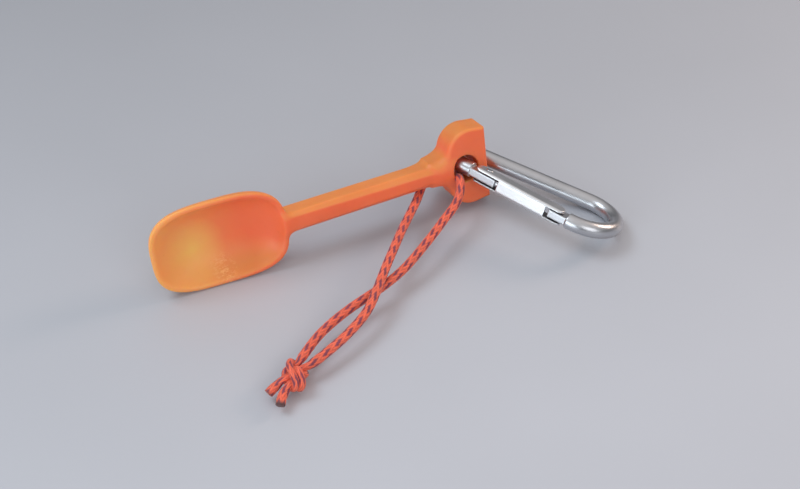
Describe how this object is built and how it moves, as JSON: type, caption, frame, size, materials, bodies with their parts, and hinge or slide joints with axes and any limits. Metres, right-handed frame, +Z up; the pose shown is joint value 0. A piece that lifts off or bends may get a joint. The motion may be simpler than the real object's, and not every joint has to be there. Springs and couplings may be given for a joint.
{
  "type": "camp spoon with carabiner and cord loop",
  "caption": "Short moulded spoon with a squarish bowl and a pierced T-shaped head, carrying a small snap-gate carabiner and a knotted braided cord loop.",
  "frame": {"origin": "on the ground, under the middle of the box of the rigid pieces (spoon and carabiner)", "axes": "+X along the spoon's handle from the bowl towards the head, +Y backwards, away from the bowl's open side, +Z up"},
  "size_m": [0.155, 0.0755, 0.0302],
  "materials": {
    "orange_plastic": "satin, slightly translucent moulded plastic",
    "satin_aluminium": "satin, tumbled",
    "steel": "plain",
    "braided_cord": "braided polyester, coral with purple flecks"
  },
  "bodies": {
    "spoon_body": {"spoon": "orange_plastic", "cord_front": "braided_cord", "cord_back": "braided_cord", "cord_knot": "braided_cord", "cord_tail_front": "braided_cord", "cord_tail_back": "braided_cord"},
    "carabiner_body": {"carabiner_frame": "satin_aluminium"},
    "gate_body": {"gate": "satin_aluminium", "gate_rivet": "steel", "gate_spring": "steel"},
    "follower_body": {"spring_follower": "steel"}
  },
  "joints": [
    {"name": "carabiner_swing", "type": "hinge", "parent": "spoon_body", "child": "carabiner_body", "pos_m": [0.03274, 0.01874, 0.01627], "axis": [-0.001, -0.9659, 0.2588], "range_deg": [0, 14]},
    {"name": "gate_pivot", "type": "hinge", "parent": "carabiner_body", "child": "gate_body", "pos_m": [0.03889, 0.00753, 0.01507], "axis": [0.3809, 0.1109, 0.9179], "range_deg": [0, 28], "stiffness_Nm_per_rad": 0.01, "springref_deg": -28.65},
    {"name": "follower_slide", "type": "slide", "parent": "gate_body", "child": "follower_body", "axis": [0.4884, -0.8671, -0.0979], "range_m": [0, 0.00065], "deforming": ["gate_spring"]}
  ],
  "couplings": [
    {"joint": "follower_slide", "follows": "gate_pivot", "m_per_rad": 0.0013}
  ]
}
